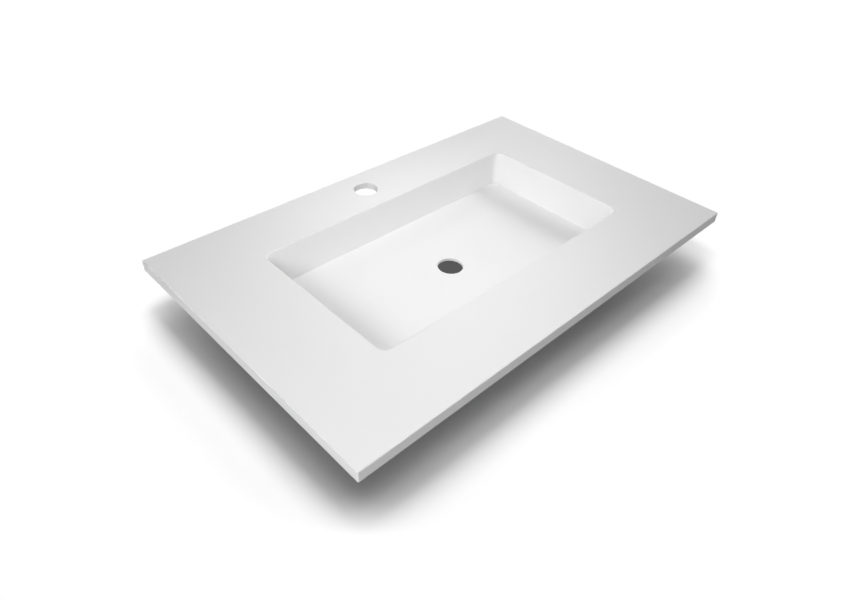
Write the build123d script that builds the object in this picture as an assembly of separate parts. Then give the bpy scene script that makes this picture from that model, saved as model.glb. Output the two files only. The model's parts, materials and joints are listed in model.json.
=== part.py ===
from build123d import *
import os

os.makedirs("parts", exist_ok=True)

# A washtop of matt mineral sheet with a basin glued under its opening, bottom up: the basin floor
# lies at z = 0, X runs along the front edge, Y from the front edge to the wall edge.
# The origin is the middle of the washtop's outline, at the underside of the basin floor.
# All sizes are in millimetres.

# Washtop
washtop_length = 800.0
washtop_depth = 500.0
washtop_corner_radius = 1.5
sheet_thickness = 12.0
top_edge_round = 1.0

# Flat of the sheet left round the basin's opening
left_margin = 139.6
right_margin = 128.4
front_margin = 119.6
back_margin = 104.0

# Basin, measured inside
basin_depth = 68.0
basin_corner_radius = 15.0
basin_rim_round = 1.6

# Basin walls and floor
wall_thickness = 12.0
floor_thickness = 12.0
floor_rebate_depth = 3.0
floor_fall = 1.5
floor_edge_chamfer = 2.0
corner_piece_leg = 12.0

# Drain, in the middle of the basin
drain_hole_diameter = 43.0
drain_seat_size = 80.0
drain_lip_thickness = 5.0
drain_recess_diameter = 92.0
drain_hole_chamfer = 0.6

# Tap hole, midway between the back edge strip and the brace behind the basin
tap_hole_diameter = 41.0
tap_hole_left_of_middle = 17.3
tap_hole_chamfer = 0.5

# Strips that make the sheet's edge look thicker
edge_strip_width = 20.0
edge_strip_thickness = 6.0
lower_edge_round = 0.8

# Braces in the angle between the basin walls and the sheet
brace_size = 12.0
brace_chamfer = 5.0
brace_end_gap = 6.0

# Rails that rest on the wall brackets, with a threaded insert at each end
rail_width = 50.0
rail_side_gap = 19.0
rail_end_gap = 12.0
rail_corner_radius = 6.0
insert_from_rail_end = 68.0
insert_outer_diameter = 11.0
insert_groove_depth = 0.6
insert_groove_width = 3.0
insert_length = 12.0
insert_bore_diameter = 6.8
insert_lead_in = 0.7
insert_glue_gap = 0.1
insert_end_gap = 0.8

# Length that a cut runs past the solid it cuts
overrun = 5.0

# Levels and places that follow from the sizes above
underside_z = 0.0
floor_top_z = underside_z + floor_thickness
wall_foot_z = floor_top_z - floor_rebate_depth
deck_top_z = floor_top_z + basin_depth
deck_underside_z = deck_top_z - sheet_thickness
strip_underside_z = deck_underside_z - edge_strip_thickness
half_length = washtop_length / 2
half_depth = washtop_depth / 2
basin_length = washtop_length - left_margin - right_margin
basin_width = washtop_depth - front_margin - back_margin
basin_x = (left_margin - right_margin) / 2
basin_y = (front_margin - back_margin) / 2
brace_back_y = half_depth - back_margin + wall_thickness + brace_size
tap_x = -tap_hole_left_of_middle
tap_y = (half_depth - edge_strip_width + brace_back_y) / 2
rail_x = half_length - edge_strip_width - rail_side_gap - rail_width / 2
rail_length = washtop_depth - 2 * edge_strip_width - 2 * rail_end_gap
insert_y = rail_length / 2 - insert_from_rail_end
corner_piece_reach = basin_corner_radius + corner_piece_leg
insert_hole_diameter = insert_outer_diameter + 2 * insert_glue_gap
insert_hole_depth = insert_length + insert_end_gap
sides = {"left": -1, "right": 1}
ends = {"front": -1, "back": 1}


def save(solid, node):
    """Write one sub-part as a STEP file named after its node."""
    solid.label = node
    export_step(solid, f"parts/{node}.step")


def block(x_low, x_high, y_low, y_high, z_low, z_high):
    """A plain block between two opposite corners."""
    shape = Box(x_high - x_low, y_high - y_low, z_high - z_low, align=(Align.MIN, Align.MIN, Align.MIN))
    return Pos(x_low, y_low, z_low) * shape


def basin_prism(grown_by, z_low, z_high):
    """The basin's plan outline, grown outwards all round, drawn up between two levels."""
    outline = RectangleRounded(
        basin_length + 2 * grown_by,
        basin_width + 2 * grown_by,
        basin_corner_radius + grown_by,
    )
    return Pos(basin_x, basin_y, z_low) * extrude(outline, z_high - z_low)


def round_hole(x, y, diameter, z_low, z_high):
    """A round hole's cutter between two levels."""
    hole = Cylinder(diameter / 2, z_high - z_low, align=(Align.CENTER, Align.CENTER, Align.MIN))
    return Pos(x, y, z_low) * hole


def insert_places():
    """The middle of each threaded insert, with the words for its place."""
    for end, along_y in ends.items():
        for side, along_x in sides.items():
            yield end, side, along_x * rail_x, along_y * insert_y


def insert_holes():
    """Blind holes, from below, for the four threaded inserts."""
    z_low = strip_underside_z - overrun
    z_high = strip_underside_z + insert_hole_depth
    return [round_hole(x, y, insert_hole_diameter, z_low, z_high) for _, _, x, y in insert_places()]


def circles_at(solid, radius, z):
    """The round edges of one radius that lie at one level."""
    tolerance = radius / 1000
    rings = solid.edges().filter_by(GeomType.CIRCLE)
    return [e for e in rings if abs(e.radius - radius) < tolerance and abs(e.center().Z - z) < tolerance]


def make_deck_sheet():
    """The 12 mm sheet: basin opening, tap hole and the upper ends of the insert holes."""
    outline = RectangleRounded(washtop_length, washtop_depth, washtop_corner_radius)
    sheet = Pos(0, 0, deck_underside_z) * extrude(outline, sheet_thickness)
    sheet -= basin_prism(0, deck_underside_z - overrun, deck_top_z + overrun)
    upper_face = sheet.faces().sort_by(Axis.Z)[-1]
    sheet = fillet(upper_face.outer_wire().edges(), top_edge_round)
    rim = sheet.faces().sort_by(Axis.Z)[-1].inner_wires()[0]
    sheet = fillet(rim.edges(), basin_rim_round)
    sheet -= round_hole(tap_x, tap_y, tap_hole_diameter, deck_underside_z - overrun, deck_top_z + overrun)
    sheet = chamfer(circles_at(sheet, tap_hole_diameter / 2, deck_top_z), tap_hole_chamfer)
    return sheet - insert_holes()


def make_edge_strips():
    """Four butted strips under the sheet's edge, rounded with it at the corners and the foot."""
    inner_length = washtop_length - 2 * edge_strip_width
    inner_depth = washtop_depth - 2 * edge_strip_width
    outline = RectangleRounded(washtop_length, washtop_depth, washtop_corner_radius)
    full = Pos(0, 0, strip_underside_z) * extrude(outline, edge_strip_thickness)
    lower_face = full.faces().sort_by(Axis.Z)[0]
    full = fillet(lower_face.outer_wire().edges(), lower_edge_round)
    levels = (strip_underside_z - overrun, deck_underside_z + overrun)
    long_x = (-half_length - overrun, half_length + overrun)
    short_y = (-inner_depth / 2, inner_depth / 2)
    cutters = {
        "front": block(*long_x, -half_depth - overrun, short_y[0], *levels),
        "back": block(*long_x, short_y[1], half_depth + overrun, *levels),
        "left": block(-half_length - overrun, -inner_length / 2, *short_y, *levels),
        "right": block(inner_length / 2, half_length + overrun, *short_y, *levels),
    }
    return {side: full & cutter for side, cutter in cutters.items()}


def make_basin_ring():
    """The basin's walls and corners in one, before they are parted."""
    outer = basin_prism(wall_thickness, wall_foot_z, deck_underside_z)
    return outer - basin_prism(0, wall_foot_z - overrun, deck_underside_z + overrun)


def part_basin_ring(ring):
    """Part the ring into four straight walls and four routed corner pieces."""
    span_x = basin_length / 2 - corner_piece_reach
    span_y = basin_width / 2 - corner_piece_reach
    reach_x = basin_length / 2 + wall_thickness + overrun
    reach_y = basin_width / 2 + wall_thickness + overrun
    levels = (wall_foot_z - overrun, deck_underside_z + overrun)
    across_x = {"left": (-reach_x, -span_x), "": (-span_x, span_x), "right": (span_x, reach_x)}
    across_y = {"front": (-reach_y, -span_y), "": (-span_y, span_y), "back": (span_y, reach_y)}
    pieces = {}
    for end, (y_low, y_high) in across_y.items():
        for side, (x_low, x_high) in across_x.items():
            if not end and not side:
                continue
            kind = "basin_corner" if end and side else "basin_wall"
            node = "_".join(word for word in (kind, end, side) if word)
            cell = block(x_low, x_high, y_low, y_high, *levels)
            pieces[node] = ring & (Pos(basin_x, basin_y, 0) * cell)
    return pieces


def fall_section(span):
    """Section of a shallow valley: from the foot of two facing walls down to the drain seat."""
    foot = span / 2
    seat = drain_seat_size / 2
    return make_face(Polyline((-foot, 0), (-seat, -floor_fall), (seat, -floor_fall), (foot, 0), close=True))


def make_fall():
    """What the fall takes off the floor panel: a valley along the basin crossed with one across it."""
    along = extrude(Plane.XZ * fall_section(basin_length), basin_width / 2, both=True)
    across = extrude(Plane.YZ * fall_section(basin_width), basin_length / 2, both=True)
    return Pos(basin_x, basin_y, floor_top_z) * (along & across)


def make_basin_floor():
    """The floor panel: a rebate that seats the walls, a fall to the drain and a thinned drain lip."""
    panel = basin_prism(wall_thickness, underside_z, floor_top_z)
    lower_face = panel.faces().sort_by(Axis.Z)[0]
    panel = chamfer(lower_face.outer_wire().edges(), floor_edge_chamfer)
    rebate = basin_prism(wall_thickness + overrun, wall_foot_z, floor_top_z + overrun)
    panel -= rebate - basin_prism(0, wall_foot_z - overrun, floor_top_z + 2 * overrun)
    panel -= make_fall()
    drain_seat_z = floor_top_z - floor_fall
    panel -= round_hole(basin_x, basin_y, drain_hole_diameter, underside_z - overrun, floor_top_z + overrun)
    panel = chamfer(circles_at(panel, drain_hole_diameter / 2, drain_seat_z), drain_hole_chamfer)
    recess_top_z = drain_seat_z - drain_lip_thickness
    return panel - round_hole(basin_x, basin_y, drain_recess_diameter, underside_z - overrun, recess_top_z)


def make_brace(length):
    """A square strip with its free corner taken off, along X, its glued corner at the origin."""
    free = brace_size - brace_chamfer
    section = Polyline((0, 0), (0, -brace_size), (free, -brace_size), (brace_size, -free), (brace_size, 0), close=True)
    return extrude(Plane.YZ * make_face(section), length / 2, both=True)


def make_braces():
    """Four braces, each glued to one wall's outer face and to the sheet above it."""
    long_brace = make_brace(basin_length - 2 * corner_piece_reach - 2 * brace_end_gap)
    short_brace = make_brace(basin_width - 2 * corner_piece_reach - 2 * brace_end_gap)
    out_x = basin_length / 2 + wall_thickness
    out_y = basin_width / 2 + wall_thickness
    return {
        "front": Pos(basin_x, basin_y - out_y, deck_underside_z) * Rot(0, 0, 180) * long_brace,
        "back": Pos(basin_x, basin_y + out_y, deck_underside_z) * long_brace,
        "left": Pos(basin_x - out_x, basin_y, deck_underside_z) * Rot(0, 0, 90) * short_brace,
        "right": Pos(basin_x + out_x, basin_y, deck_underside_z) * Rot(0, 0, -90) * short_brace,
    }


def make_bracket_rail(along_x):
    """A flat rail from front to back, level with the edge strips, drilled for two inserts."""
    rail = extrude(RectangleRounded(rail_width, rail_length, rail_corner_radius), edge_strip_thickness)
    return Pos(along_x * rail_x, 0, strip_underside_z) * rail - insert_holes()


def make_threaded_insert():
    """A turned brass insert with a glue groove half way up, upright, its mouth at the origin."""
    outer = insert_outer_diameter / 2
    core = outer - insert_groove_depth
    bore = insert_bore_diameter / 2
    insert = Cylinder(outer, insert_length)
    insert -= Cylinder(outer + overrun, insert_groove_width) - Cylinder(core, insert_groove_width)
    insert -= Cylinder(bore, insert_length + 2 * overrun)
    insert = Pos(0, 0, insert_length / 2) * insert
    return chamfer(circles_at(insert, bore, 0), insert_lead_in)


save(make_deck_sheet(), "deck_sheet")
for side, strip in make_edge_strips().items():
    save(strip, f"edge_strip_{side}")
for node, piece in part_basin_ring(make_basin_ring()).items():
    save(piece, node)
save(make_basin_floor(), "basin_floor")
for side, brace in make_braces().items():
    save(brace, f"brace_{side}")
for side, along_x in sides.items():
    save(make_bracket_rail(along_x), f"bracket_rail_{side}")
for end, side, x, y in insert_places():
    save(Pos(x, y, strip_underside_z) * make_threaded_insert(), f"threaded_insert_{end}_{side}")
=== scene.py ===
import json
import math

import bpy
from mathutils import Matrix, Vector


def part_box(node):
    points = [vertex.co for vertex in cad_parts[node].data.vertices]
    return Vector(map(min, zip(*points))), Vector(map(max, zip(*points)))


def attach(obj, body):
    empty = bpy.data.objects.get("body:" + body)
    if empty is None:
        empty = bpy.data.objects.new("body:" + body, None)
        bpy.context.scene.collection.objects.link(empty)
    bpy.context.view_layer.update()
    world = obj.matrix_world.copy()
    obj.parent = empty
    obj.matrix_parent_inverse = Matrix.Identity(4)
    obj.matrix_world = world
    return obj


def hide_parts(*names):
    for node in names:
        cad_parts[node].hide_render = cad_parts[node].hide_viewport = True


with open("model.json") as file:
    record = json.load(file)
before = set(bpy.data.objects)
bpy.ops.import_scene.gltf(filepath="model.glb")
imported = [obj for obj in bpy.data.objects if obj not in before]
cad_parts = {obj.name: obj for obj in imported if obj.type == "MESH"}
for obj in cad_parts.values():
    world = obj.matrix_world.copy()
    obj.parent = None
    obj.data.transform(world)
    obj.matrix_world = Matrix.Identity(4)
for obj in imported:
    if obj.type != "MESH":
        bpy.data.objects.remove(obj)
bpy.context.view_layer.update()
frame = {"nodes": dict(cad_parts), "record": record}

# All lengths are in metres. X runs along the washtop's front edge, Y towards the wall, Z up.

# Camera
CAMERA_PLACE = Vector((-0.65599, -0.59055, 0.67440))
CAMERA_AIM = Vector((-0.13979, -0.09497, 0.08000))
CAMERA_ROLL = math.radians(3.3831)
SENSOR_WIDTH = 36.0
FOCAL_LENGTH = 27.531

# Patterns: how many to a metre, and how many finer layers lie on them
FILLER_GRAINS = (1500.0, 3.0)
SANDING_MARKS = (420.0, 4.0)
PRESSED_DIMPLES = (160.0, 3.0)
CLOUDS = (6.0, 2.0)
TARNISH_PATCHES = (300.0, 3.0)
GLUE_PATCHES = (90.0, 2.0)
GLUE_LUMPS = 45.0
TURNING_MARKS_ALONG_XYZ = (150.0, 150.0, 6000.0)

# Most of a noise texture's values lie between NOISE_LOW and NOISE_HIGH. NOISE_STRETCH brings how
# far they stray from NOISE_MIDDLE to about one.
NOISE_LOW = 0.35
NOISE_MIDDLE = 0.5
NOISE_HIGH = 0.65
NOISE_STRETCH = 4.0

# Mineral sheet: its white with darker and lighter grains, its clouds, and its two finishes
SHEET_WHITE = 0.93
GRAIN_TONES = (SHEET_WHITE * 0.985, SHEET_WHITE * 1.005)
CLOUD_TONES = (0.994, 1.0)
PRESSED_TONE = 0.96
SANDED_ROUGHNESS = (0.61, 0.69)
PRESSED_ROUGHNESS = (0.70, 0.80)
UNDERSIDE_NORMALS = (-0.8, -0.95)
SANDED_RELIEF = 0.25
SHEET_BUMP = {"Strength": 0.12, "Distance": 0.0001}

# Brass
BRIGHT_BRASS = (0.78, 0.60, 0.32, 1.0)
TARNISHED_BRASS = (0.66, 0.48, 0.25, 1.0)
BRASS_ROUGHNESS = (0.26, 0.4)
BRASS_BUMP = {"Strength": 0.3, "Distance": 0.00005}

# Glue, of the sheet's own colour, pressed out of the joints on the hidden side
PALE_GLUE = (0.86, 0.85, 0.81, 1.0)
WARM_GLUE = (0.80, 0.78, 0.73, 1.0)
GLUE_ROUGHNESS = (0.25, 0.4)
BEAD_RADIUS = 0.0011
SEAM_BEAD_RADIUS = 0.0006
BEAD_WANDER = 0.3
BEAD_STEP = 0.004
BEAD_SIDES = 8
CORNER_STEPS = 8
STRIP_CORNER = 0.001
RAIL_CORNER = 0.006
BASIN_OUTER_CORNER = 0.027

# Threaded insert for an M8 screw
THREAD_RADIUS = 0.0040
BORE_RADIUS = 0.0034
THREAD_PITCH = 0.00125
THREAD_STEPS = 32
RIDGE_SIDES = 3
RIDGE_FLATNESS = 0.62
LEAD_IN = 0.0007
GROOVE_DEPTH = 0.0006
GROOVE_WIDTH = 0.0030
ROUND_SIDES = 64

# Studio
FLOOR_SIZE = 12.0
FLOOR_DROP = 0.0002
FLOOR_GIVES_BACK = 0.31
FLOOR_SEEN = 0.9

# The floor is plain white in a share of SHADOW_FILL up to SHADOW_REACH outside the washtop, taken
# with corners of SHADOW_CORNER. The share rises from there and is one from SHADOW_END on.
# Painted shadow: this share paints how the floor's shadow fades out and how round its corners are,
# and SHADOW_FILL is painted white within the shadow.
SHADOW_FILL = 0.051
SHADOW_CORNER = 0.165
SHADOW_REACH = 0.012
SHADOW_END = 0.0925
SHADOW_STEEPENING = 2.84

# Card on the floor under the drain hole: painted shade, an even grey for the shade seen down the
# hole
DRAIN_CARD_RADIUS = 0.045
DRAIN_CARD_HEIGHT = 0.0001
PAINTED_DRAIN_SHADE_GREY = 0.1

# Soft boxes: where each hangs, where it points, its width and height, and its watts
WASHTOP_BOXES = {
    "left_front_box": ((-1.04, -0.60, 0.77), (0.0, 0.0, 0.05), 0.4, 0.4, 6.9),
    "left_low_box": ((-2.54, -1.47, 0.67), (0.0, 0.0, 0.05), 0.9, 0.9, 7.9),
    "left_back_box": ((-2.18, 1.26, 1.68), (0.0, 0.0, 0.05), 1.1, 1.1, 15.9),
    "right_front_box": ((2.25, -0.60, 1.94), (0.0, 0.0, 0.05), 1.1, 1.1, 25.0),
    "right_back_box": ((1.10, 0.63, 0.64), (0.0, 0.0, 0.05), 0.45, 0.45, 3.4),
    "overhead_front_box": ((-0.15, -0.30, 0.50), (-0.15, -0.30, 0.0), 0.3, 0.3, 0.32),
    "overhead_back_box": ((0.0, 0.10, 0.45), (0.0, 0.10, 0.0), 0.3, 0.3, 0.63),
}
FLOOR_BOXES = {
    "floor_overhead_box": ((0.02, 0.28, 1.24), (0.0, 0.0, 0.0), 0.60, 0.60, 12.1),
    "floor_near_box": ((-0.29, -0.18, 0.68), (0.0, 0.0, 0.0), 0.56, 0.56, 2.9),
    "floor_back_box": ((1.08, 0.89, 0.68), (0.0, 0.0, 0.0), 1.23, 1.23, 40.3),
    "floor_front_box": ((-1.20, -0.69, 0.80), (0.0, 0.0, 0.0), 1.20, 1.20, 2.0),
}
BASIN_FOOT_BOXES = {
    "under_floor_box": ((0.0, 0.0, -1.2), (0.0, 0.0, 0.0), 1.0, 1.0, 3.5),
}


def add(tree, kind, inputs=None, **properties):
    """Add a node, set its properties, and set or link its inputs, which are named or numbered."""
    made = tree.nodes.new(kind)
    for name, value in properties.items():
        setattr(made, name, value)
    for name, value in (inputs or {}).items():
        if isinstance(value, bpy.types.NodeSocket):
            tree.links.new(value, made.inputs[name])
        else:
            made.inputs[name].default_value = value
    return made


def link_object(name, data):
    """A new object of some data, in the scene."""
    made = bpy.data.objects.new(name, data)
    bpy.context.scene.collection.objects.link(made)
    return made


def make_camera():
    """The camera looks down over the near left corner, its horizon tilted a little."""
    back = (CAMERA_PLACE - CAMERA_AIM).normalized()
    level_right = Vector((0, 0, 1)).cross(back).normalized()
    level_up = back.cross(level_right)
    right = level_right * math.cos(CAMERA_ROLL) + level_up * math.sin(CAMERA_ROLL)
    up = level_up * math.cos(CAMERA_ROLL) - level_right * math.sin(CAMERA_ROLL)
    turned = Matrix((right, up, back)).transposed().to_4x4()
    camera = link_object("camera", bpy.data.cameras.new("camera"))
    camera.data.sensor_width = SENSOR_WIDTH
    camera.data.lens = FOCAL_LENGTH
    camera.matrix_world = Matrix.Translation(CAMERA_PLACE) @ turned
    bpy.context.scene.camera = camera


# Materials


def blank_material(name):
    """A new material with no nodes but its output."""
    material = bpy.data.materials.new(name)
    material.use_nodes = True
    tree = material.node_tree
    tree.nodes.clear()
    return material, tree, add(tree, "ShaderNodeOutputMaterial")


def grey(level):
    """A neutral colour."""
    return (level, level, level, 1.0)


def reckon(tree, operation, first, second):
    """One sum on two numbers."""
    return add(tree, "ShaderNodeMath", {0: first, 1: second}, operation=operation).outputs["Value"]


def times(tree, first, second):
    """The product of two numbers."""
    return reckon(tree, "MULTIPLY", first, second)


def noise(tree, at, per_metre, layers):
    """A noise texture's value, mostly near its middle."""
    inputs = {"Vector": at, "Scale": per_metre, "Detail": layers}
    return add(tree, "ShaderNodeTexNoise", inputs).outputs["Fac"]


def spread(tree, value, low, high, from_low=NOISE_LOW, from_high=NOISE_HIGH):
    """Spread a value's usual span over another."""
    spans = {"From Min": from_low, "From Max": from_high, "To Min": low, "To Max": high}
    return add(tree, "ShaderNodeMapRange", {"Value": value, **spans}).outputs["Result"]


def blend(tree, share, first, second):
    """A number between two others."""
    return add(tree, "ShaderNodeMix", {"Factor": share, "A": first, "B": second}).outputs["Result"]


def blend_colour(tree, share, first, second):
    """A colour between two others."""
    inputs = {"Factor": share, "A": first, "B": second}
    return add(tree, "ShaderNodeMix", inputs, data_type="RGBA").outputs["Result"]


def bumped(tree, height, bump):
    """The normal of a surface that a height raises."""
    return add(tree, "ShaderNodeBump", {"Height": height, **bump}).outputs["Normal"]


def cover(tree, output, **inputs):
    """Send out a principled shader, its sockets' names given with underscores for spaces."""
    sockets = {name.replace("_", " "): value for name, value in inputs.items()}
    shader = add(tree, "ShaderNodeBsdfPrincipled", sockets)
    tree.links.new(shader.outputs["BSDF"], output.inputs["Surface"])


def mineral_sheet():
    """White mineral and acrylic sheet: sanded to a fine matt above, left as pressed underneath."""
    material, tree, output = blank_material("mineral_sheet")
    place = add(tree, "ShaderNodeTexCoord")
    at = place.outputs["Object"]
    upward = add(tree, "ShaderNodeSeparateXYZ", {"Vector": place.outputs["Normal"]}).outputs["Z"]
    underneath = spread(tree, upward, 0.0, 1.0, *UNDERSIDE_NORMALS)
    grains = noise(tree, at, *FILLER_GRAINS)
    clouds = noise(tree, at, *CLOUDS)
    sanding = noise(tree, at, *SANDING_MARKS)
    dimples = noise(tree, at, *PRESSED_DIMPLES)
    white = times(tree, spread(tree, grains, *GRAIN_TONES), spread(tree, clouds, *CLOUD_TONES))
    sanded = spread(tree, sanding, *SANDED_ROUGHNESS)
    pressed = spread(tree, dimples, *PRESSED_ROUGHNESS)
    height = blend(tree, underneath, times(tree, sanding, SANDED_RELIEF), dimples)
    cover(
        tree,
        output,
        Base_Color=times(tree, white, blend(tree, underneath, 1.0, PRESSED_TONE)),
        Roughness=blend(tree, underneath, sanded, pressed),
        Normal=bumped(tree, height, SHEET_BUMP),
    )
    return material


def turned_brass():
    """Brass as it comes off the lathe, a little dull, with fine turning marks."""
    material, tree, output = blank_material("turned_brass")
    at = add(tree, "ShaderNodeTexCoord").outputs["Object"]
    turning = add(tree, "ShaderNodeMapping", {"Vector": at, "Scale": TURNING_MARKS_ALONG_XYZ})
    marks = noise(tree, turning.outputs["Vector"], 1.0, 2.0)
    tarnish = spread(tree, noise(tree, at, *TARNISH_PATCHES), 0.0, 1.0)
    cover(
        tree,
        output,
        Base_Color=blend_colour(tree, tarnish, BRIGHT_BRASS, TARNISHED_BRASS),
        Metallic=1.0,
        Roughness=spread(tree, marks, *BRASS_ROUGHNESS),
        Normal=bumped(tree, marks, BRASS_BUMP),
    )
    return material


def sheet_glue():
    """Two-part glue of the sheet's own colour: a shade warmer than the sheet, and glossier."""
    material, tree, output = blank_material("sheet_glue")
    at = add(tree, "ShaderNodeTexCoord").outputs["Object"]
    patches = spread(tree, noise(tree, at, *GLUE_PATCHES), 0.0, 1.0)
    cover(
        tree,
        output,
        Base_Color=blend_colour(tree, patches, PALE_GLUE, WARM_GLUE),
        Roughness=spread(tree, patches, *GLUE_ROUGHNESS, 0.0, 1.0),
    )
    return material


def dress(materials):
    """Give each carried-over part the material of its slot in the record."""
    for part in frame["record"]["subparts"]:
        node = frame["nodes"][part["node"]]
        node.data.materials.clear()
        node.data.materials.append(materials[part["material_slot"]])


# Pieces made by geometry nodes


def new_tree(name, sizes, places=()):
    """An empty tree of geometry nodes with named inputs: routes, sizes and places."""
    tree = bpy.data.node_groups.new(name, "GeometryNodeTree")
    tree.interface.new_socket("Routes", in_out="INPUT", socket_type="NodeSocketGeometry")
    for size in sizes:
        tree.interface.new_socket(size, in_out="INPUT", socket_type="NodeSocketFloat")
    for place in places:
        tree.interface.new_socket(place, in_out="INPUT", socket_type="NodeSocketVector")
    tree.interface.new_socket("Mesh", in_out="OUTPUT", socket_type="NodeSocketGeometry")
    return tree, add(tree, "NodeGroupInput").outputs


def end_tree(tree, geometry, material):
    """Realize what the tree has made, give it its material and send it out."""
    real = add(tree, "GeometryNodeRealizeInstances", {"Geometry": geometry}).outputs["Geometry"]
    coated = add(tree, "GeometryNodeSetMaterial", {"Geometry": real, "Material": material})
    add(tree, "NodeGroupOutput", {"Mesh": coated.outputs["Geometry"]})
    return tree


def run_tree(tree, name, routes, **sizes):
    """Draw some routes as polylines, run a tree on them and keep what it makes as a plain mesh."""
    drawn = bpy.data.curves.new(name, "CURVE")
    drawn.dimensions = "3D"
    for points, closed in routes:
        spline = drawn.splines.new("POLY")
        spline.points.add(len(points) - 1)
        for knot, point in zip(spline.points, points):
            knot.co = (*point, 1.0)
        spline.use_cyclic_u = closed
    sketch = link_object(name + "_routes", drawn)
    modifier = sketch.modifiers.new(name, "NODES")
    modifier.node_group = tree
    for socket in tree.interface.items_tree:
        if socket.name in sizes:
            modifier[socket.identifier] = sizes[socket.name]
    evaluated = sketch.evaluated_get(bpy.context.evaluated_depsgraph_get())
    mesh = bpy.data.meshes.new_from_object(evaluated)
    mesh.name = name
    bpy.data.objects.remove(sketch)
    return link_object(name, mesh)


def circle(tree, sides, radius):
    """A circle to sweep along or to sweep."""
    inputs = {"Resolution": sides, "Radius": radius}
    return add(tree, "GeometryNodeCurvePrimitiveCircle", inputs).outputs["Curve"]


def glue_bead_tree(glue):
    """A bead of glue along each route, its thickness wandering as a hand-pressed joint's does."""
    tree, given = new_tree("glue_bead", ["corner_radius", "bead_radius", "wander", "step", "seed"])
    rounded = add(
        tree,
        "GeometryNodeFilletCurve",
        {
            "Curve": given["Routes"],
            "Count": CORNER_STEPS,
            "Radius": given["corner_radius"],
            "Limit Radius": True,
        },
        mode="POLY",
    )
    stepped = add(
        tree,
        "GeometryNodeResampleCurve",
        {"Curve": rounded.outputs["Curve"], "Length": given["step"]},
        mode="LENGTH",
    )
    lumps = add(
        tree, "ShaderNodeTexNoise", {"W": given["seed"], "Scale": GLUE_LUMPS}, noise_dimensions="4D"
    )
    around_none = reckon(tree, "SUBTRACT", lumps.outputs["Fac"], NOISE_MIDDLE)
    more_or_less = add(
        tree,
        "ShaderNodeMath",
        {0: around_none, 1: times(tree, given["wander"], NOISE_STRETCH), 2: 1.0},
        operation="MULTIPLY_ADD",
    )
    bead = add(
        tree,
        "GeometryNodeCurveToMesh",
        {
            "Curve": stepped.outputs["Curve"],
            "Profile Curve": circle(tree, BEAD_SIDES, given["bead_radius"]),
            "Scale": more_or_less.outputs["Value"],
            "Fill Caps": True,
        },
    )
    smooth = add(tree, "GeometryNodeSetShadeSmooth", {"Geometry": bead.outputs["Mesh"]})
    return end_tree(tree, smooth.outputs["Geometry"], glue)


def threaded_insert_tree(brass):
    """Turn the outline round the Z axis, cut a thread in its bore and set it at its place."""
    tree, given = new_tree(
        "threaded_insert",
        ["thread_radius", "bore_radius", "pitch", "length", "lead_in"],
        ["mouth"],
    )
    round_the_axis = circle(tree, ROUND_SIDES, given["thread_radius"])
    turned = add(
        tree,
        "GeometryNodeCurveToMesh",
        {"Curve": round_the_axis, "Profile Curve": given["Routes"]},
    )
    run = reckon(tree, "SUBTRACT", given["length"], given["lead_in"])
    helix = add(
        tree,
        "GeometryNodeCurveSpiral",
        {
            "Resolution": THREAD_STEPS,
            "Rotations": reckon(tree, "DIVIDE", run, given["pitch"]),
            "Start Radius": given["thread_radius"],
            "End Radius": given["thread_radius"],
            "Height": run,
        },
    )
    upright = add(
        tree, "GeometryNodeSetCurveNormal", {"Curve": helix.outputs["Curve"]}, mode="Z_UP"
    )
    depth = reckon(tree, "SUBTRACT", given["thread_radius"], given["bore_radius"])
    ridge_section = add(
        tree,
        "GeometryNodeTransform",
        {
            "Geometry": circle(tree, RIDGE_SIDES, depth),
            "Rotation": (0.0, 0.0, math.pi),
            "Scale": (1.0, RIDGE_FLATNESS, 1.0),
        },
    )
    ridge = add(
        tree,
        "GeometryNodeCurveToMesh",
        {
            "Curve": upright.outputs["Curve"],
            "Profile Curve": ridge_section.outputs["Geometry"],
            "Fill Caps": True,
        },
    )
    above_lead_in = add(tree, "ShaderNodeCombineXYZ", {"Z": given["lead_in"]})
    raised = add(
        tree,
        "GeometryNodeTransform",
        {"Geometry": ridge.outputs["Mesh"], "Translation": above_lead_in.outputs["Vector"]},
    )
    joined = add(tree, "GeometryNodeJoinGeometry", {"Geometry": turned.outputs["Mesh"]})
    tree.links.new(raised.outputs["Geometry"], joined.inputs["Geometry"])
    placed = add(
        tree,
        "GeometryNodeTransform",
        {"Geometry": joined.outputs["Geometry"], "Translation": given["mouth"]},
    )
    return end_tree(tree, placed.outputs["Geometry"], brass)


def rectangle(x_low, x_high, y_low, y_high, z):
    """The corners of a level rectangle, in order."""
    return [(x_low, y_low, z), (x_high, y_low, z), (x_high, y_high, z), (x_low, y_high, z)]


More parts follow.
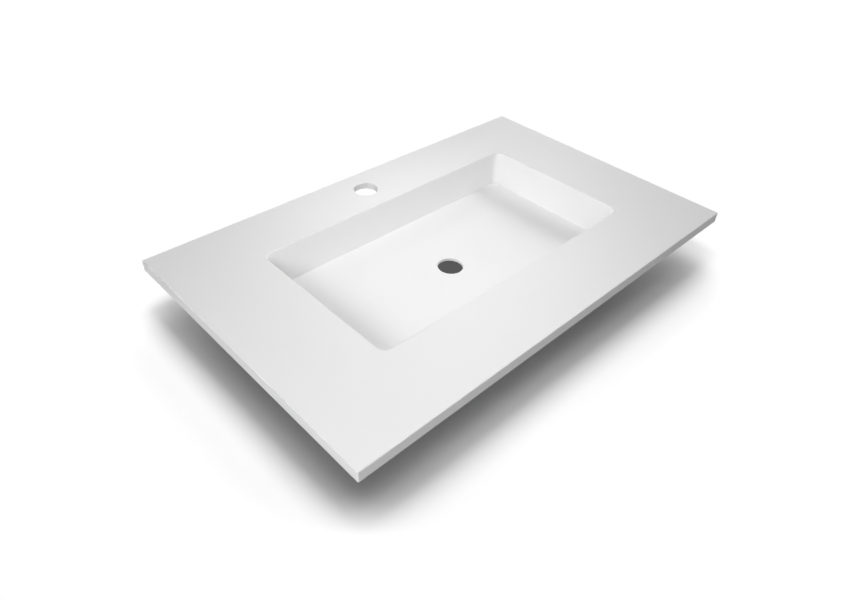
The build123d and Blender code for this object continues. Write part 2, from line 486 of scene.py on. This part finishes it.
def joint_beads(glue):
    """Glue pressed out along the joints of the hidden side, in one piece for each kind of joint."""
    tree = glue_bead_tree(glue)
    sheet_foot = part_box("deck_sheet")[0].z
    left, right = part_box("edge_strip_left")[1].x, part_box("edge_strip_right")[0].x
    front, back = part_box("edge_strip_front")[1].y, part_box("edge_strip_back")[0].y
    strips = [(rectangle(left, right, front, back, sheet_foot), True)]

    rails = []
    for side in ("left", "right"):
        low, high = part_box(f"bracket_rail_{side}")
        rails.append((rectangle(low.x, high.x, low.y, high.y, sheet_foot), True))

    wall_left, wall_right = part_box("basin_wall_left")[0].x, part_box("basin_wall_right")[1].x
    wall_front, wall_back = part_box("basin_wall_front")[0].y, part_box("basin_wall_back")[1].y
    wall_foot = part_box("basin_wall_front")[0].z
    seam = [(rectangle(wall_left, wall_right, wall_front, wall_back, wall_foot), True)]

    front_brace, back_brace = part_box("brace_front"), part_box("brace_back")
    left_brace, right_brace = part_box("brace_left"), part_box("brace_right")
    brace_foot = front_brace[0].z
    left_end, right_end = front_brace[0].x, front_brace[1].x
    front_end, back_end = left_brace[0].y, left_brace[1].y
    braces = []
    for wall, out in ((wall_front, front_brace[0].y), (wall_back, back_brace[1].y)):
        ring = [(left_end, wall), (left_end, out), (right_end, out), (right_end, wall)]
        braces.append(([(x, y, sheet_foot) for x, y in ring], False))
        braces.append(([(x, wall, brace_foot) for x in (left_end, right_end)], False))
    for wall, out in ((wall_left, left_brace[0].x), (wall_right, right_brace[1].x)):
        ring = [(wall, front_end), (out, front_end), (out, back_end), (wall, back_end)]
        braces.append(([(x, y, sheet_foot) for x, y in ring], False))
        braces.append(([(wall, y, brace_foot) for y in (front_end, back_end)], False))

    corners = []
    for wall_x, end_x in ((wall_left, left_end), (wall_right, right_end)):
        for wall_y, end_y in ((wall_front, front_end), (wall_back, back_end)):
            turn = [(end_x, wall_y), (wall_x, wall_y), (wall_x, end_y)]
            corners.append(([(x, y, sheet_foot) for x, y in turn], False))

    beads = {
        "glue_at_edge_strips": (strips, STRIP_CORNER, BEAD_RADIUS),
        "glue_at_rails": (rails, RAIL_CORNER, BEAD_RADIUS),
        "glue_at_braces": (braces, STRIP_CORNER, BEAD_RADIUS),
        "glue_at_basin_corners": (corners, BASIN_OUTER_CORNER, BEAD_RADIUS),
        "glue_at_floor_seam": (seam, BASIN_OUTER_CORNER, SEAM_BEAD_RADIUS),
    }
    for seed, (name, (routes, corner, radius)) in enumerate(beads.items()):
        bead = run_tree(
            tree,
            name,
            routes,
            corner_radius=corner,
            bead_radius=radius,
            wander=BEAD_WANDER,
            step=BEAD_STEP,
            seed=float(seed),
        )
        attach(bead, "root")


def insert_outline(outer_radius, length):
    """Half section of an insert off the lathe: x out from the thread's radius, y down."""
    groove_low = (length - GROOVE_WIDTH) / 2
    groove_high = (length + GROOVE_WIDTH) / 2
    core = outer_radius - GROOVE_DEPTH
    mouth_radius = BORE_RADIUS + LEAD_IN
    radius_and_height = [
        (THREAD_RADIUS, length),
        (outer_radius, length),
        (outer_radius, groove_high),
        (core, groove_high),
        (core, groove_low),
        (outer_radius, groove_low),
        (outer_radius, 0.0),
        (mouth_radius, 0.0),
        (THREAD_RADIUS, mouth_radius - THREAD_RADIUS),
    ]
    return [(radius - THREAD_RADIUS, -height, 0.0) for radius, height in radius_and_height]


def threaded_inserts(brass):
    """Four brass inserts with a real thread, each in place of its plain-bored solid."""
    tree = threaded_insert_tree(brass)
    for node in frame["nodes"]:
        if not node.startswith("threaded_insert"):
            continue
        low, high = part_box(node)
        length = high.z - low.z
        insert = run_tree(
            tree,
            node.replace("threaded_insert", "tapped_insert"),
            [(insert_outline((high.x - low.x) / 2, length), True)],
            thread_radius=THREAD_RADIUS,
            bore_radius=BORE_RADIUS,
            pitch=THREAD_PITCH,
            length=length,
            lead_in=LEAD_IN,
            mouth=((low.x + high.x) / 2, (low.y + high.y) / 2, low.z),
        )
        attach(insert, "root")
        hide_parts(node)


# Studio


def seen_rays(tree):
    """One for rays that see a backdrop: straight from the camera, by reflection, through glass."""
    path = add(tree, "ShaderNodeLightPath").outputs
    straight_or_mirrored = reckon(tree, "MAXIMUM", path["Is Camera Ray"], path["Is Glossy Ray"])
    return reckon(tree, "MAXIMUM", straight_or_mirrored, path["Is Transmission Ray"])


def on_vectors(tree, operation, *vectors):
    """The node of one sum on vectors."""
    return add(tree, "ShaderNodeVectorMath", dict(enumerate(vectors)), operation=operation)


def painted_shadow_fade(tree):
    """Painted shadow edge: the floor's share of plain white by distance from the washtop, little by
    it and one past its shadow.
    """
    low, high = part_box("deck_sheet")
    corner_middle = (
        (high.x - low.x) / 2 - SHADOW_CORNER,
        (high.y - low.y) / 2 - SHADOW_CORNER,
        0.0,
    )
    at = add(tree, "ShaderNodeTexCoord").outputs["Object"]
    from_middle = on_vectors(tree, "ABSOLUTE", at).outputs["Vector"]
    past = on_vectors(tree, "SUBTRACT", from_middle, corner_middle).outputs["Vector"]
    outside = on_vectors(tree, "MAXIMUM", past, (0.0, 0.0, 0.0)).outputs["Vector"]
    distance = on_vectors(tree, "LENGTH", outside).outputs["Value"]
    shadow = (SHADOW_CORNER + SHADOW_REACH, SHADOW_CORNER + SHADOW_END)
    share = spread(tree, distance, 0.0, 1.0, *shadow)
    steeper = reckon(tree, "POWER", share, SHADOW_STEEPENING)
    return spread(tree, steeper, SHADOW_FILL, 1.0, 0.0, 1.0)


def mix(tree, share, first, second):
    """A shader between two others."""
    return add(tree, "ShaderNodeMixShader", {0: share, 1: first, 2: second}).outputs["Shader"]


def matt(tree, level):
    """A matt grey."""
    return add(tree, "ShaderNodeBsdfDiffuse", {"Color": grey(level)}).outputs["BSDF"]


def even(tree, level):
    """A grey that no light or shade changes."""
    return add(tree, "ShaderNodeEmission", {"Color": grey(level)}).outputs["Emission"]


def clear_from_below(tree, surface):
    """The surface where it is seen from above, and clear from below and for the lamps' light."""
    from_below = add(tree, "ShaderNodeNewGeometry").outputs["Backfacing"]
    lighting = add(tree, "ShaderNodeLightPath").outputs["Is Shadow Ray"]
    either = reckon(tree, "MAXIMUM", from_below, lighting)
    clear = add(tree, "ShaderNodeBsdfTransparent").outputs["BSDF"]
    return mix(tree, either, surface, clear)


def studio_floor():
    """A pale floor that shows the washtop's shadow, its fade and corners painted, and is plain
    white past it.
    """
    material, tree, output = blank_material("studio_floor")
    # Painted shadow edge: plain white mixed into the lit floor by distance from the washtop.
    seen = mix(tree, painted_shadow_fade(tree), matt(tree, FLOOR_SEEN), even(tree, 1.0))
    mixed = mix(tree, seen_rays(tree), matt(tree, FLOOR_GIVES_BACK), seen)
    tree.links.new(clear_from_below(tree, mixed), output.inputs["Surface"])
    return material


def make_floor():
    """The floor that the washtop lies on."""
    bpy.ops.mesh.primitive_plane_add(size=FLOOR_SIZE, location=(0.0, 0.0, -FLOOR_DROP))
    floor = bpy.context.object
    floor.name = "studio_floor"
    floor.data.materials.append(studio_floor())
    return floor


def drain_card():
    """A card on the floor under the drain hole: painted shade, an even grey for the shaded space
    under a washtop.
    """
    low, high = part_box("basin_floor")
    bpy.ops.mesh.primitive_circle_add(
        vertices=ROUND_SIDES,
        radius=DRAIN_CARD_RADIUS,
        fill_type="NGON",
        location=((low.x + high.x) / 2, (low.y + high.y) / 2, DRAIN_CARD_HEIGHT - FLOOR_DROP),
    )
    card = bpy.context.object
    card.name = "drain_card"
    material, tree, output = blank_material("drain_card")
    # Painted shade: an even grey that no lamp changes, for the shade seen down the drain hole.
    shade = clear_from_below(tree, even(tree, PAINTED_DRAIN_SHADE_GREY))
    tree.links.new(shade, output.inputs["Surface"])
    card.data.materials.append(material)
    return card


def make_world():
    """White for the rays that see it, and unlit otherwise."""
    world = bpy.data.worlds.new("studio")
    world.use_nodes = True
    bpy.context.scene.world = world
    tree = world.node_tree
    tree.nodes.clear()
    white_if_seen = {"Color": grey(1.0), "Strength": seen_rays(tree)}
    background = add(tree, "ShaderNodeBackground", white_if_seen)
    output = add(tree, "ShaderNodeOutputWorld")
    tree.links.new(background.outputs["Background"], output.inputs["Surface"])


def make_boxes(boxes, lit):
    """Soft boxes, each aimed at a point, that light the objects of one collection."""
    for name, (place, aim, width, height, watts) in boxes.items():
        data = bpy.data.lights.new(name, "AREA")
        data.shape = "RECTANGLE"
        data.size = width
        data.size_y = height
        data.energy = watts
        lamp = link_object(name, data)
        lamp.location = place
        lamp.rotation_mode = "QUATERNION"
        lamp.rotation_quaternion = (Vector(aim) - Vector(place)).to_track_quat("-Z", "Y")
        lamp.visible_camera = False
        lamp.light_linking.receiver_collection = lit


def gather(name, objects):
    """A collection of some objects, for the lamps to light."""
    made = bpy.data.collections.new(name)
    for one in objects:
        made.objects.link(one)
    return made


make_camera()
brass = turned_brass()
dress({"mineral_sheet": mineral_sheet(), "brass_insert": brass})
joint_beads(sheet_glue())
threaded_inserts(brass)
washtop = gather("washtop", [one for one in bpy.data.objects if one.type == "MESH"])
# The card under the drain hole is painted shade.
ground = gather("ground", [make_floor(), drain_card()])
basin_foot = gather("basin_foot", [frame["nodes"]["basin_floor"]])
make_world()
make_boxes(WASHTOP_BOXES, washtop)
make_boxes(FLOOR_BOXES, ground)
make_boxes(BASIN_FOOT_BOXES, basin_foot)
bpy.context.scene.view_settings.view_transform = "Standard"
